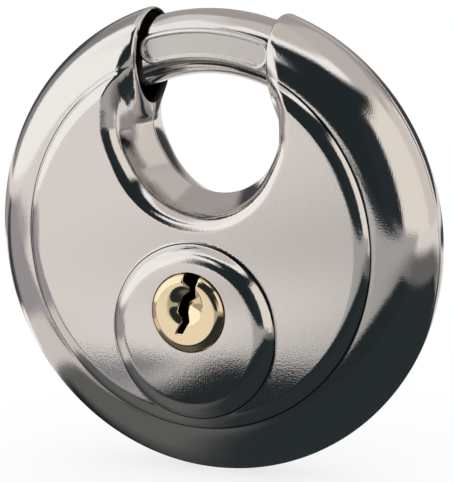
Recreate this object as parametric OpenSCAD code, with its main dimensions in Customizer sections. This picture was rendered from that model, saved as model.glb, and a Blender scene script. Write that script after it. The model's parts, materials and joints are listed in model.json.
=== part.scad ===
// Disc padlock with a shrouded shackle that swings round the disc's own centre.
// Every piece is modelled lying flat: the disc's centre is the origin, +y points to the
// shackle and +z points to the front. stand_up() then turns the lock upright, with the
// front towards -Y and the origin at the middle of the shackle bar.

/* [Body] */
// Outside diameter of the disc
disc_d = 70; // [64:0.5:76]
// Sheet thickness of the two shells
sheet = 1; // [0.8:0.05:1.2]
// Height of the raised faces over the crest of the round rim
face_rise = 1.35; // [0.9:0.05:2]
// Rounding of the raised faces' outer edge
face_round = 2.6; // [2:0.1:3]
// How far the raised faces reach past the crest of the rim
face_lap = 0.25; // [0.1:0.05:0.5]

/* [Throat] */
// Clear width of the throat at the seam
throat_w = 20.2; // [18.6:0.2:21.4]
// Height of the throat's floor over the disc's centre
throat_floor = 6.3; // [5.4:0.1:7.2]
// Swell radius of the throat wall, across the thickness
swell_r = 13; // [11.5:0.5:16]
// Rounding between the throat wall and the faces
brow_r = 2.8; // [2:0.1:3.4]
// Angle left between that rounding and the faces
brow_angle = 14; // [8:1:22]
// Set-back of the horn mouths from the throat wall
mouth_set = 0.4; // [0.2:0.05:0.8]

/* [Shackle] */
// Diameter of the shackle bar
bar_d = 9.5; // [9:0.1:10]
// Clearance round the bar in the horns
bar_gap = 0.35; // [0.3:0.05:0.5]
// How far the bar's arc lies outside the crest of the rim
bar_shift = 1.15; // [0.9:0.05:1.4]
// Angle that the shackle swings to open
open_angle = 55; // [53:0.5:57]
// Clock angle of the tail's end, from the top, with the lock closed
tail_angle = 118; // [114:1:120]
// Angle of the tail that is milled flat for the drive plate
tail_flat_angle = 22; // [20:1:26]
// Depth of that flat
tail_flat = 0.75; // [0.6:0.05:0.95]
// Chamfer on the free tip
tip_chamfer = 1.1; // [0.6:0.1:1.6]
// Half angle of the recess on the bar's front
recess_angle = 16.5; // [14:0.5:18]
// Width of the recess
recess_w = 3.5; // [2.6:0.1:4]
// Depth of the recess at its middle
recess_depth = 0.55; // [0.45:0.05:0.8]

/* [Boss] */
// Diameter of the boss where it leaves the front face
boss_d = 25.7; // [24.6:0.1:26.2]
// Distance of the boss below the disc's centre
boss_drop = 12.9; // [12.6:0.1:13.2]
// Height of the boss over the front face
boss_rise = 2.1; // [1.8:0.1:2.6]
// Draft angle of the boss's side
boss_draft = 40; // [30:1:45]
// Radius of the boss's domed top
crown_r = 80; // [60:5:120]

/* [Cylinder] */
// Diameter of the round cylinder housing
housing_d = 19.2; // [18.8:0.1:19.4]
// Diameter of the plug
plug_d = 11; // [10.8:0.1:11.2]
// Distance of the plug's axis above the middle of the housing
plug_offset = 3.2; // [3:0.05:3.3]
// Gap between the plug and the edge of the boss's hole
plug_rim_gap = 0.45; // [0.35:0.05:0.6]
// How far the plug's face stands above the top of the boss
plug_proud = 0.9; // [0.6:0.05:1.1]
// Width of the chamfer round the plug's face
plug_chamfer = 1.1; // [0.8:0.1:1.3]
// Running clearance between turning and sliding pieces
fit = 0.05; // [0.03:0.01:0.08]
// Width of the keyway
keyway_w = 1.6; // [1.4:0.1:1.8]
// Radius of the hollow at the key's entry
entry_r = 2.7; // [2.2:0.1:3]

/* [Pins] */
// Diameter of the pins
pin_d = 2.2; // [2:0.1:2.3]
// Distance from one pin to the next
pin_pitch = 2.7; // [2.6:0.05:2.8]
// Distance of the first pin from the front of the housing
pin_start = 1.5; // [1.3:0.1:1.7]
// Length of a driver pin
driver_len = 2.7; // [2.4:0.1:2.9]
// Thickness of the strip that closes the pin chambers
cover_t = 1.2; // [1:0.1:1.4]
// Diameter of the springs' wire
wire_d = 0.26; // [0.2:0.02:0.3]
// Number of turns in a spring
spring_turns = 4; // [3:1:5]

/* [Drive] */
// Thickness of the drive plate
plate_t = 1.2; // [1:0.1:1.3]
// Thickness of the crank disc
crank_t = 1.3; // [1.1:0.1:1.5]
// Diameter of the crank pin
crank_pin_d = 2.4; // [2:0.1:2.6]
// Play between the crank pin and the sides of its slot
slot_play = 0.4; // [0.36:0.02:0.5]
// Metal left round the slot
slot_wall = 2; // [1.6:0.1:2.4]
// Width of the drive plate's arm
arm_w = 6.4; // [5:0.2:7]
// Diameter of the rivets' shanks
rivet_d = 2; // [1.6:0.1:2.2]

/* [Hidden] */
$fn = 96;
// Small overlap of cutting shapes, and a length past everything
cut = 0.5;
far = 60;

// Round sections: bar, horn round the bar, and rim round the horn
rim_skin = 0.2;
bar_r = bar_d / 2;
horn_r = bar_r + bar_gap + sheet;
rim_r = horn_r + bar_shift + rim_skin;
disc_r = disc_d / 2;
rim_c = disc_r - rim_r;
arc_r = rim_c + bar_shift;

// Raised faces
face_h = rim_r + face_rise;
face_r = rim_c + face_lap;
face_flat_r = face_r - face_round;

// Throat: the wall's swell is one arc, and a smaller one leads from it to each face
throat_r = throat_w / 2;
throat_y = throat_floor + throat_r;
swell_c = throat_r + swell_r;
brow_z = face_h - brow_r * cos(brow_angle);
brow_c = swell_c - sqrt(pow(swell_r - brow_r, 2) - pow(brow_z, 2));
mouth_x = throat_r + mouth_set;
mouth_angle = asin(mouth_x / arc_r);
horn_end_angle = asin((brow_c + horn_r) / arc_r);
lip_y = sqrt(pow(arc_r - horn_r, 2) - pow(mouth_x, 2)) - mouth_set;

// Shackle
tip_inside = 1;
tip_angle = mouth_angle + tip_inside - open_angle;
recess_floor = bar_r - recess_depth;
recess_r = arc_r + 0.1;

// Half step that keeps a round end from grazing the straight sides it closes
end_step = 0.03;

// Boss and cylinder, along the depth
crown_z = face_h + boss_rise - crown_r;
boss_foot = 2 * sheet;
housing_r = housing_d / 2;
seat_gap = 0.3;
housing_front = crown_z + sqrt(pow(crown_r - sheet, 2) - pow(housing_r, 2)) - seat_gap;
plug_r = plug_d / 2;
plug_drop = boss_drop - plug_offset;
plug_hole_r = plug_r + plug_rim_gap;
plug_head_r = plug_r + plug_rim_gap / 2;
plug_front = face_h + boss_rise + plug_proud;
chamfer_depth = 0.9 * plug_chamfer;
entry_depth = 1.3;
entry_y = 1.2;

// Drive, from the shackle's flat tail forward to the back of the housing
plate_front = tail_flat - bar_r;
crank_back = plate_front + seat_gap;
crank_front = crank_back + crank_t;
housing_back = crank_front + 2 * fit;
crank_reach = plug_drop * tan(open_angle / 2);
crank_r = crank_reach + crank_pin_d / 2 + 0.2;
spigot_r = 2.2;
spigot_flat = 1.7;
slot_w = crank_pin_d + 2 * slot_play;
slot_near = sqrt(pow(plug_drop, 2) + pow(crank_reach, 2));
slot_far = plug_drop + crank_reach;
slot_angle = 180 - open_angle / 2;
rivet_head_d = 1.7 * rivet_d;
rivet_grip = 3;
rivet_margin = 6;
rivet_angles = [tail_angle - tail_flat_angle + rivet_margin, tail_angle - rivet_margin];
pad_w = 4.6;
pad_end = 1;

// Core block
core_gap = 0.45;
core_r = arc_r - bar_r - core_gap;
core_top = 2;
core_front = face_h - sheet - fit;
core_back = plate_front + 2 * seat_gap;
post_x = slot_far * sin(open_angle / 2) + slot_w / 2 + slot_wall + 0.8;
post_y = -2;

// Pins: each key pin ends just inside the plug's surface, each driver just outside it
pin_r = pin_d / 2;
pin_count = 4;
key_pin_len = [2.9, 3.7, 3.2, 4.1];
key_pin_tip = 0.7;
key_pin_lift = 1;
key_pin_foot = sqrt(pow(plug_r, 2) - pow(pin_r, 2)) - fit;
pin_hole_top = key_pin_foot - max(key_pin_len) - key_pin_lift - fit;
driver_top = plug_r + 2 * fit;
driver_drop = 1.2;
cover_top = boss_drop + housing_r - cover_t;
cover_w = pin_d + 1.3;
spring_len = cover_top - plug_drop - driver_top - driver_len - 2 * fit;
coil_r = pin_r - wire_d / 2 - fit;

// Keyway from the top of the plug down: middle line, and share of the full width at each bend
keyway_line = [[0.7, plug_d, 1.5], [0.7, 4.7, 1.4], [1.1, 3.9, 0.6], [1.1, 3.3, 0.6], [0.4, 2.4, 1.2],
    [-0.6, 1.6, 0.7], [-0.7, 0.1, 0.9], [0, -1.2, 0.65], [-1, -3, 0.6]];

steel = "#d9d6d2";
dark_steel = "#8f9396";
brass = "#d8b565";
zinc = "#a9abad";

// A point at a clock angle from the top, seen from the front
function clock_point(r, a) = [r * sin(a), r * cos(a)];

function pin_z(i) = housing_front - pin_start - (i - 1) * pin_pitch;

module stand_up() {
    translate([0, 0, -arc_r]) rotate([90, 0, 0]) children();
}

// A profile in (radius, z) swept from one clock angle to another
module clock_sweep(from, to) {
    rotate_extrude(angle = to - from, start = 90 - to) children();
}

// A drawing in (x, z) pushed along y from one height to another
module along_y(from, to) {
    translate([0, to, 0]) rotate([90, 0, 0]) linear_extrude(to - from) children();
}

// A flat strip between two points, with round ends
module strip(p, q, w) {
    d = q - p;
    translate(p) rotate(atan2(d[1], d[0])) translate([0, -w / 2]) square([norm(d), w]);
    for (end = [p, q]) translate(end) circle(w / 2 - end_step);
}

// Half section of the disc without its throat: round rim, groove and raised faces.
// inset moves the whole surface inwards, so that the cavity follows the outside.
module disc_section(inset) {
    h = face_h - inset;
    edge_z = face_h - face_round;
    translate([rim_c, 0]) circle(rim_r - inset);
    translate([0, -h]) square([face_flat_r, 2 * h]);
    translate([0, -edge_z]) square([face_r - inset, 2 * edge_z]);
    for (side = [-1, 1]) translate([face_flat_r, side * edge_z]) circle(face_round - inset);
}

// Section of the metal beside the throat, by distance from the throat's middle
module throat_wall(inset) {
    tangent_z = (swell_r - inset) * brow_z / (swell_r - brow_r);
    h = face_h - inset;
    intersection() {
        translate([swell_c, 0]) circle(swell_r - inset);
        translate([0, -tangent_z]) square([swell_c, 2 * tangent_z]);
    }
    for (side = [-1, 1]) translate([brow_c, side * brow_z]) circle(brow_r - inset);
    translate([brow_c, -h]) square([far, 2 * h]);
}

module throat_section(inset) {
    difference() {
        translate([0, -far / 2]) square([brow_c, far]);
        throat_wall(inset);
    }
}

module throat_cut(inset) {
    translate([0, throat_y, 0]) rotate_extrude(angle = 180, start = 180) throat_section(inset);
    along_y(throat_y, far) {
        throat_section(inset);
        mirror([1, 0]) throat_section(inset);
    }
}

// The two round horns that the shackle runs through
module horns(inset) {
    for (side = [0, 1]) mirror([side, 0, 0])
        clock_sweep(mouth_angle - 8, horn_end_angle) translate([arc_r, 0]) circle(horn_r - inset);
}

module boss(inset) {
    foot_z = face_h - boss_foot;
    side_r = boss_d / 2 - inset / cos(boss_draft);
    top_z = face_h + boss_rise;
    translate([0, -boss_drop, 0]) intersection() {
        translate([0, 0, foot_z]) cylinder(h = top_z - foot_z + cut,
            r1 = side_r + boss_foot * tan(boss_draft),
            r2 = side_r - (boss_rise + cut) * tan(boss_draft));
        translate([0, 0, crown_z]) sphere(crown_r - inset, $fn = 256);
    }
}

module disc_solid(inset) {
    difference() {
        rotate_extrude() disc_section(inset);
        throat_cut(inset);
    }
    horns(inset);
}

// Space between the horns, open above the lips
module mouth_space() {
    translate([-mouth_x, lip_y, -far / 2]) cube([2 * mouth_x, far, far]);
}

module front_half() {
    translate([-far, -far, 0]) cube([2 * far, 2 * far, far]);
}

module front_shell() {
    color(steel) stand_up() difference() {
        union() {
            intersection() {
                disc_solid(0);
                front_half();
            }
            boss(0);
        }
        disc_solid(sheet);
        boss(sheet);
        mouth_space();
        translate([0, -plug_drop, face_h - sheet]) cylinder(h = far, r = plug_hole_r);
    }
}

module rear_shell() {
    color(steel) stand_up() difference() {
        intersection() {
            disc_solid(0);
            mirror([0, 0, 1]) front_half();
        }
        disc_solid(sheet);
        mouth_space();
    }
}

module core_outline() {
    difference() {
        intersection() {
            circle(core_r);
            translate([-far, core_top - 2 * far]) square(2 * far);
        }
        translate([0, throat_y]) circle(brow_c + core_gap);
    }
}

// Cast block that fills the disc below the throat and carries the cylinder. Its two posts reach
// the back shell, beside the room that the drive plate swings in.
module core_block() {
    bore_r = housing_r + fit;
    color(zinc) stand_up() {
        difference() {
            translate([0, 0, core_back]) linear_extrude(core_front - core_back) core_outline();
            translate([0, -boss_drop, housing_back - fit]) cylinder(h = far, r = bore_r);
            translate([0, -plug_drop, -far / 2]) cylinder(h = far, r = crank_r + seat_gap);
        }
        translate([0, 0, -core_front]) linear_extrude(2 * core_front) intersection() {
            core_outline();
            for (side = [0, 1]) mirror([side, 0]) translate([post_x, post_y]) square(far);
        }
    }
}

module shackle() {
    flat_from = tail_angle - tail_flat_angle;
    color(steel) stand_up() difference() {
        union() {
            clock_sweep(tip_angle, tail_angle) translate([arc_r, 0]) circle(bar_r);
            rotate(-tip_angle) translate([0, arc_r, 0]) rotate([0, -90, 0])
                cylinder(h = tip_chamfer, r1 = bar_r - end_step, r2 = bar_r - tip_chamfer);
        }
        clock_sweep(flat_from, tail_angle + 2) translate([rim_c - rim_r, -far])
            square([2 * rim_r, far + plate_front]);
        clock_sweep(-recess_angle, recess_angle) translate([recess_r - recess_w / 2, recess_floor])
            square([recess_w, far]);
        for (side = [-1, 1]) translate(clock_point(recess_r, side * recess_angle))
            translate([0, 0, recess_floor]) cylinder(h = far, r = recess_w / 2 - end_step);
        for (a = rivet_angles) translate(clock_point(arc_r, a))
            translate([0, 0, plate_front - cut]) cylinder(h = rivet_grip + cut + fit, r = rivet_d / 2 + fit);
    }
}

module slot_outline(extra) {
    strip(clock_point(slot_near, slot_angle), clock_point(slot_far, slot_angle), slot_w + 2 * extra);
}

// Flat plate on the shackle's tail, with the slot that the crank pin runs in
module drive_plate() {
    pad_from = tail_angle - tail_flat_angle + pad_end;
    arm_r = arc_r + (pad_w - arm_w) / 2;
    arm_from = pad_from + asin(arm_w / 2 / arm_r);
    color(dark_steel) stand_up() difference() {
        union() {
            translate([0, 0, plate_front - plate_t]) linear_extrude(plate_t) {
                strip(clock_point(arm_r, arm_from), clock_point(slot_far, slot_angle), arm_w);
                slot_outline(slot_wall);
            }
            clock_sweep(pad_from, tail_angle) translate([arc_r - pad_w / 2, plate_front - plate_t])
                square([pad_w, plate_t]);
        }
        translate([0, 0, -far / 2]) linear_extrude(far) slot_outline(0);
        for (a = rivet_angles) translate(clock_point(arc_r, a)) rivet_shape(fit);
    }
}

// Countersunk rivet, its head flush with the back of the drive plate
module rivet_shape(extra) {
    back = plate_front - plate_t;
    shank_r = rivet_d / 2 + extra;
    head_r = rivet_head_d / 2 + extra;
    translate([0, 0, back]) cylinder(h = plate_t + rivet_grip, r = shank_r);
    translate([0, 0, back]) cylinder(h = plate_t / 2, r1 = head_r, r2 = shank_r);
}

module plate_rivets() {
    color(dark_steel) stand_up()
        for (a = rivet_angles) translate(clock_point(arc_r, a)) rivet_shape(0);
}

// Upright hole or pin of the pin row, given by its lowest and highest distance below the plug's axis
module pin_cylinder(i, low, high, r) {
    translate([0, -plug_drop - low, pin_z(i)]) rotate([-90, 0, 0]) cylinder(h = low - high, r = r);
}

module cover_shape(gap) {
    w = cover_w + 2 * gap;
    translate([-w / 2, -cover_top - far - gap, -far]) cube([w, far + 2 * gap, 2 * far]);
}

module housing_round(r) {
    translate([0, -boss_drop, housing_back]) cylinder(h = housing_front - housing_back, r = r);
}

module cylinder_housing() {
    color(brass) stand_up() difference() {
        housing_round(housing_r);
        translate([0, -plug_drop, -far / 2]) cylinder(h = far, r = plug_r + fit);
        for (i = [1:pin_count]) pin_cylinder(i, cover_top - plug_drop + cut, plug_r - cut, pin_r + fit);
        cover_shape(0);
    }
}

module chamber_cover() {
    color(brass) stand_up() intersection() {
        housing_round(housing_r - fit);
        cover_shape(-fit);
    }
}

module keyway_outline() {
    last = len(keyway_line) - 1;
    half = [for (p = keyway_line) p[2] * keyway_w / 2];
    left = [for (i = [0:last]) [keyway_line[i][0] - half[i], keyway_line[i][1]]];
    right = [for (i = [last:-1:0]) [keyway_line[i][0] + half[i], keyway_line[i][1]]];
    polygon(concat(left, right));
}

// Double-flat tail of the plug, which carries the crank disc
module spigot_outline(gap) {
    intersection() {
        circle(spigot_r + gap);
        square([2 * (spigot_flat + gap), far], center = true);
    }
}

module plug_section() {
    head_back = housing_front + fit;
    edge_z = plug_front - chamfer_depth;
    polygon([[0, crank_front], [plug_r, crank_front], [plug_r, head_back], [plug_head_r, head_back],
        [plug_head_r, edge_z], [plug_head_r - plug_chamfer, plug_front], [0, plug_front]]);
}

module plug() {
    color(brass) stand_up() difference() {
        translate([0, -plug_drop, 0]) {
            rotate_extrude() plug_section();
            translate([0, 0, crank_back]) linear_extrude(crank_t) spigot_outline(0);
        }
        translate([0, -plug_drop, crank_front + sheet]) linear_extrude(far) keyway_outline();
        translate([0, entry_y - plug_drop, plug_front - entry_depth])
            cylinder(h = entry_depth + cut, r1 = 0.2, r2 = entry_r * (1 + cut / entry_depth));
        for (i = [1:pin_count]) pin_cylinder(i, plug_r + cut, pin_hole_top, pin_r + fit);
    }
}

module crank_disc() {
    color(dark_steel) stand_up() translate([0, -plug_drop, crank_back]) difference() {
        cylinder(h = crank_t, r = crank_r);
        translate([0, 0, -cut]) linear_extrude(crank_t + 2 * cut) spigot_outline(fit);
        translate([crank_reach, 0, -cut]) cylinder(h = crank_t + 2 * cut, r = crank_pin_d / 2 + fit / 2);
    }
}

module crank_pin() {
    back = plate_front - plate_t - seat_gap;
    color(dark_steel) stand_up() translate([crank_reach, -plug_drop, back])
        cylinder(h = crank_front - back, r = crank_pin_d / 2);
}

module key_pin(i) {
    top = key_pin_foot - key_pin_len[i - 1];
    color(brass) stand_up() {
        pin_cylinder(i, key_pin_foot, top + key_pin_tip, pin_r);
        translate([0, -plug_drop - top - key_pin_tip, pin_z(i)]) rotate([-90, 0, 0])
            cylinder(h = key_pin_tip, r1 = pin_r, r2 = pin_r - key_pin_tip);
    }
}

module driver_pin(i) {
    color(brass) stand_up() pin_cylinder(i, driver_top + driver_len, driver_top, pin_r);
}

// Round wire wound about z, one ring of points for each step round the coil
module coil(height, turns) {
    sides = 6;
    steps = turns * 10;
    wire_r = wire_d / 2;
    rise = (height - wire_d) / steps;
    points = [for (i = [0:steps]) let (a = 360 * turns * i / steps, z = wire_r + rise * i)
        for (j = [0:sides - 1]) let (b = 360 * j / sides, r = coil_r + wire_r * cos(b))
            [r * cos(a), r * sin(a), z + wire_r * sin(b)]];
    walls = [for (i = [0:steps - 1]) for (j = [0:sides - 1])
        let (k = (j + 1) % sides, low = i * sides, high = low + sides)
            each [[low + j, high + j, high + k], [low + j, high + k, low + k]]];
    ends = [[for (j = [0:sides - 1]) j], [for (j = [sides - 1:-1:0]) steps * sides + j]];
    polyhedron(points, concat(walls, ends));
}

module pin_spring(i) {
    color(dark_steel) stand_up() translate([0, fit - cover_top, pin_z(i)]) rotate([-90, 0, 0])
        coil(spring_len, spring_turns);
}

front_shell();
rear_shell();
core_block();
shackle();
drive_plate();
plate_rivets();
cylinder_housing();
chamber_cover();
plug();
crank_disc();
crank_pin();
key_pin(1);  // key_pin_1
key_pin(2);  // key_pin_2
key_pin(3);  // key_pin_3
key_pin(4);  // key_pin_4
driver_pin(1);  // driver_pin_1
driver_pin(2);  // driver_pin_2
driver_pin(3);  // driver_pin_3
driver_pin(4);  // driver_pin_4
pin_spring(1);  // pin_spring_1
pin_spring(2);  // pin_spring_2
pin_spring(3);  // pin_spring_3
pin_spring(4);  // pin_spring_4
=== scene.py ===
"""Looks of the disc padlock: smooth pressed shells, shackle and plug over the CAD frame, their metals,
and a small photo studio. Shapes are worked out in millimetres with the disc's centre at the origin:
x to the right, up towards the shackle, and front towards the viewer of the keyhole."""

import itertools
import json
import math

import bpy
import numpy as np
from mathutils import Matrix, Vector


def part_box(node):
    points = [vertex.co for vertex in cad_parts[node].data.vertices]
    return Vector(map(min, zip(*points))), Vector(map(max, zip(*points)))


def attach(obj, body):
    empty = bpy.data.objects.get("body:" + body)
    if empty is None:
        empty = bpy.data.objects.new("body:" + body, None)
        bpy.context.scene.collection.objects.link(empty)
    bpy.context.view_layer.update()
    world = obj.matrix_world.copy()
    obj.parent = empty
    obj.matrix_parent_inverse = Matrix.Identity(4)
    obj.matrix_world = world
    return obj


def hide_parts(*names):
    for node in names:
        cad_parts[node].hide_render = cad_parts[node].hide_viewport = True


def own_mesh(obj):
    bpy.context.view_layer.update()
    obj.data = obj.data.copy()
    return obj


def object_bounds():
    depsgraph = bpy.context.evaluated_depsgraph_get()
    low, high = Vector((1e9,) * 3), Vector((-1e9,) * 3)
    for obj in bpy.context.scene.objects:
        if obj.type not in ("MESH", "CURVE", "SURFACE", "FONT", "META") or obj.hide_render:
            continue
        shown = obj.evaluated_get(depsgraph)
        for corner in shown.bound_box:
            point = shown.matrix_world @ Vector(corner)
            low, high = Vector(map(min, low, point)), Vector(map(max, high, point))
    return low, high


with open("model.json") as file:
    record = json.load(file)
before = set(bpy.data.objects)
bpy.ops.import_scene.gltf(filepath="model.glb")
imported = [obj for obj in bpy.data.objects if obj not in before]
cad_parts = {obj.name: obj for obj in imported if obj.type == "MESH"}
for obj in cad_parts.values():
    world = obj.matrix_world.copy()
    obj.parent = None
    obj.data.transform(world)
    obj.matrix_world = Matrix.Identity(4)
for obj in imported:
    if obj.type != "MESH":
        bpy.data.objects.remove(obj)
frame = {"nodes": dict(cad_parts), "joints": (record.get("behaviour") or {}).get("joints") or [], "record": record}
cad_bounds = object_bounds()

MM = 0.001
PIN_COUNT = 4


def box_mm(node):
    """Lowest and highest corner of a CAD node, in millimetres of the row frame."""
    low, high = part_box(node)
    return np.array(low) / MM, np.array(high) / MM


def slide_travels():
    """How far each sliding joint goes, in metres."""
    slides = [joint for joint in frame["joints"] if joint["type"] == "slide"]
    return {joint["name"]: max(joint["range_m"]) for joint in slides}


# Sizes read from the frame
shell_low, shell_high = box_mm("rear_shell")
front_low, _ = box_mm("front_shell")
_, shackle_high = box_mm("shackle")
crank_low, crank_high = box_mm("crank_disc")
plug_low, plug_high = box_mm("plug")
housing_low, housing_high = box_mm("cylinder_housing")
key_pins = [box_mm(f"key_pin_{number}") for number in range(1, PIN_COUNT + 1)]
slide_travel = slide_travels()

DISC_R = (shell_high[0] - shell_low[0]) / 2
DISC_Z = shell_low[2] + DISC_R
FACE_H = shell_high[1]
BAR_R = shackle_high[2]
ARC_R = -DISC_Z
BOSS_TOP = -front_low[1]
BOSS_DROP = DISC_Z - (housing_low[2] + housing_high[2]) / 2
PLUG_Z = (crank_low[2] + crank_high[2]) / 2
PLUG_DROP = DISC_Z - PLUG_Z
PLUG_FRONT = -plug_low[1]
PLUG_BACK = plug_high[1]
PLUG_HEAD_R = (plug_high[0] - plug_low[0]) / 2
PIN_R = (key_pins[0][1][0] - key_pins[0][0][0]) / 2
PIN_FRONTS = [-(low[1] + high[1]) / 2 for low, high in key_pins]
PIN_LIFT = slide_travel["key_pin_1_slide"] / MM
PIN_TOP = max(high[2] for low, high in key_pins) - PLUG_Z

# Pressed sheet, rim and raised faces
SHEET = 0.9
RIM_FULLNESS = 1.15
RIM_R = DISC_R - ARC_R + RIM_FULLNESS
RIM_C = DISC_R - RIM_R
FACE_OVERLAP = 0.25
FACE_R = RIM_C + FACE_OVERLAP
FACE_ROUND = 2.6
FACE_BLEND = 0.02
GROOVE_BLEND = 0.2
CREASE_R = FACE_R - FACE_ROUND + math.sqrt(FACE_ROUND**2 - (RIM_R - FACE_H + FACE_ROUND) ** 2)
EDGE_ROUND = 0.6
SEAM_ROUND = 0.35
SEAM_DEPTH = 0.3

# Throat
THROAT_R = 10.1
THROAT_LOWEST = 6.3
THROAT_UP = THROAT_LOWEST + THROAT_R
BROW_R = 2.2
BROW_TURN = math.radians(45)
BEND_R = 4.5
BEND_TURN = math.radians(68)
WALL_TURN = math.radians(77)
LIP_UP = 16.5
LIP_SET = 0.6
LIP_EASE = 6.0
LIP_BLEND = 3.0

# Horns and their mouths
HORN_WALL = 1.5
BAR_GAP = 0.35
HORN_R = BAR_R + BAR_GAP + HORN_WALL
HORN_LOW = 10.0
HORN_FADE = 0.5
HORN_FADE_FROM = 18.0
HORN_FLARE = 0.12
HORN_FLARE_END = 6.0
HORN_BLEND = 3.0
CREASE_BLEND = 0.5
CORNER_BLEND = 0.6
CORNER_REACH = 0.5
MOUTH_SET = 0.4
MOUTH_X = THROAT_R + MOUTH_SET
MOUTH_GAP = 1.1
MOUTH_R = BAR_R + MOUTH_GAP
MOUTH_DROP = 1.15
MOUTH_DEEP = 0.6
MOUTH_EDGE = 0.8

# Boss
BOSS_R = 12.85
BOSS_FOOT_R = BOSS_R + 0.1
BOSS_ROOT = 4.0
BOSS_DRAFT = math.radians(33)
CROWN_R = 300.0
SHOULDER_BLEND = 1.2
FOOT_BLEND = 0.4
PLUG_HOLE_R = 5.95

# Shackle
TIP_ALONG = math.radians(-32.5) * ARC_R
TIP_ROUND = 1.2
TAIL_ALONG = math.radians(118) * ARC_R
FLAT_ALONG = math.radians(96) * ARC_R
FLAT_FRONT = -4.0
RECESS_V = 0.1
RECESS_HALF = math.radians(16.5) * ARC_R
RECESS_W = 3.5
RECESS_FLOOR = 4.2
RECESS_BLEND = 0.2
BEAD_R = 0.33
BEAD_BLEND = 0.15

# Plug
PLUG_R = 5.5
PLUG_HEAD_BACK = 9.1
PLUG_OVERLAP = 0.1
PLUG_CHAMFER = 0.8
PLUG_CHAMFER_DEPTH = 0.72
PLUG_BODY_BACK = -2.4
SPIGOT_R = 2.2
SPIGOT_FLAT = 1.7
ENTRY_UP = 1.2
ENTRY_R = 2.7
ENTRY_DEPTH = 1.3
EDGE_BREAK = 0.25
PIN_PLAY = 0.08
PIN_HOLE_TOP = PIN_TOP + PIN_LIFT + PIN_PLAY

# Keyway: the middle line from top to bottom, as x, height and share of the full width
KEYWAY_BACK = -1.4
KEYWAY_W = 1.6
KEYWAY_LINE = (
    (0.7, 8.0, 1.5),
    (0.7, 4.7, 1.4),
    (1.1, 3.9, 0.6),
    (1.1, 3.3, 0.6),
    (0.4, 2.4, 1.2),
    (-0.6, 1.6, 0.7),
    (-0.7, 0.1, 0.9),
    (0.0, -1.2, 0.65),
    (-1.0, -3.0, 0.6),
)

# Grids of the meshes
COARSE = 0.33
FINE = 0.22
FINEST = 0.06
GRID_MARGIN = 1.0
GROOVE_BAND = 0.2
SEAM_BAND = 0.65
SEAM_STEP = 0.1
FACE_BAND = 5.0
THROAT_WIDE = 17.0
THROAT_LOW = 3.0
WARP_FROM = 8.0
WARP_TO = 22.0
SHACKLE_STEP = 0.13
SHACKLE_MARGIN = 0.6
HIDDEN_BAR_STEP = 2.5 * SHACKLE_STEP
PLUG_STEP = 0.09
PLUG_MARGIN = 0.3
PLUG_END_MARGIN = 0.4
PLUG_HEAD_BAND = 0.6
HIDDEN_PLUG_STEP = 3 * PLUG_STEP
PROBE = 0.01
CUT_ROUNDS = 6
TINY = 1e-9


# Fields: negative inside the metal, in millimetres

def smooth_min(a, b, width):
    share = np.clip(0.5 + 0.5 * (b - a) / width, 0, 1)
    return b + (a - b) * share - width * share * (1 - share)


def smooth_max(a, b, width):
    return -smooth_min(-a, -b, width)


def smooth_step(low, high, value):
    t = np.clip((value - low) / (high - low), 0, 1)
    return t * t * (3 - 2 * t)


def rim_field(x, up, front):
    return np.hypot(np.hypot(x, up) - RIM_C, front) - RIM_R


def plate_field(x, up, front):
    """The two raised faces, as one round plate with rolled edges."""
    out = np.hypot(x, up) - (FACE_R - FACE_ROUND)
    over = np.abs(front) - (FACE_H - FACE_ROUND)
    corner = np.hypot(np.maximum(out, 0), np.maximum(over, 0))
    return corner + np.minimum(np.maximum(out, over), 0) - FACE_ROUND


def wall_centers():
    """Radius and centre, as depth from the throat's middle and height, of the arcs of the throat's wall."""
    fall = FACE_H - BROW_R - (BEND_R - BROW_R) * math.cos(BROW_TURN) + BEND_R * math.cos(BEND_TURN)
    wall_r = fall / (math.cos(BEND_TURN) - math.cos(WALL_TURN))
    wall = (THROAT_R + wall_r * math.sin(WALL_TURN), -wall_r * math.cos(WALL_TURN))
    arcs = [(wall_r, *wall)]
    for radius, turn in ((BEND_R, BEND_TURN), (BROW_R, BROW_TURN)):
        before, depth, height = arcs[-1]
        step = before - radius
        arcs.append((radius, depth - step * math.sin(turn), height + step * math.cos(turn)))
    return arcs


def throat_field(x, up, front):
    """Metal beside the throat: a wall that leans back, bends and rolls over into the faces."""
    d = np.where(up > THROAT_UP, np.abs(x), np.hypot(x, up - THROAT_UP))
    d = d - LIP_SET * smooth_step(LIP_UP - LIP_EASE, LIP_UP, up)
    height = np.abs(front)
    (wall_r, *wall), (bend_r, *bend), (brow_r, *brow) = wall_centers()
    field = np.hypot(d - wall[0], height - wall[1]) - wall_r
    on_bend = np.arctan2(bend[0] - d, height - bend[1]) < BEND_TURN
    field = np.where(on_bend, np.hypot(d - bend[0], height - bend[1]) - bend_r, field)
    on_brow = np.arctan2(brow[0] - d, height - brow[1]) < BROW_TURN
    field = np.where(on_brow, np.hypot(d - brow[0], height - brow[1]) - brow_r, field)
    return np.where(d >= brow[0], height - FACE_H, field)


def horn_field(x, up, front):
    """Round tubes of the horns, wider away from their mouths, that sink into the rim further on."""
    inward = np.abs(x) - MOUTH_X
    flare = HORN_FLARE * np.clip(inward, 0, HORN_FLARE_END)
    tube = np.hypot(np.hypot(x, up) - ARC_R, front) - HORN_R - flare
    return np.maximum(tube, HORN_LOW - up) + HORN_FADE * np.maximum(0, np.abs(x) - HORN_FADE_FROM)


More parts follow.
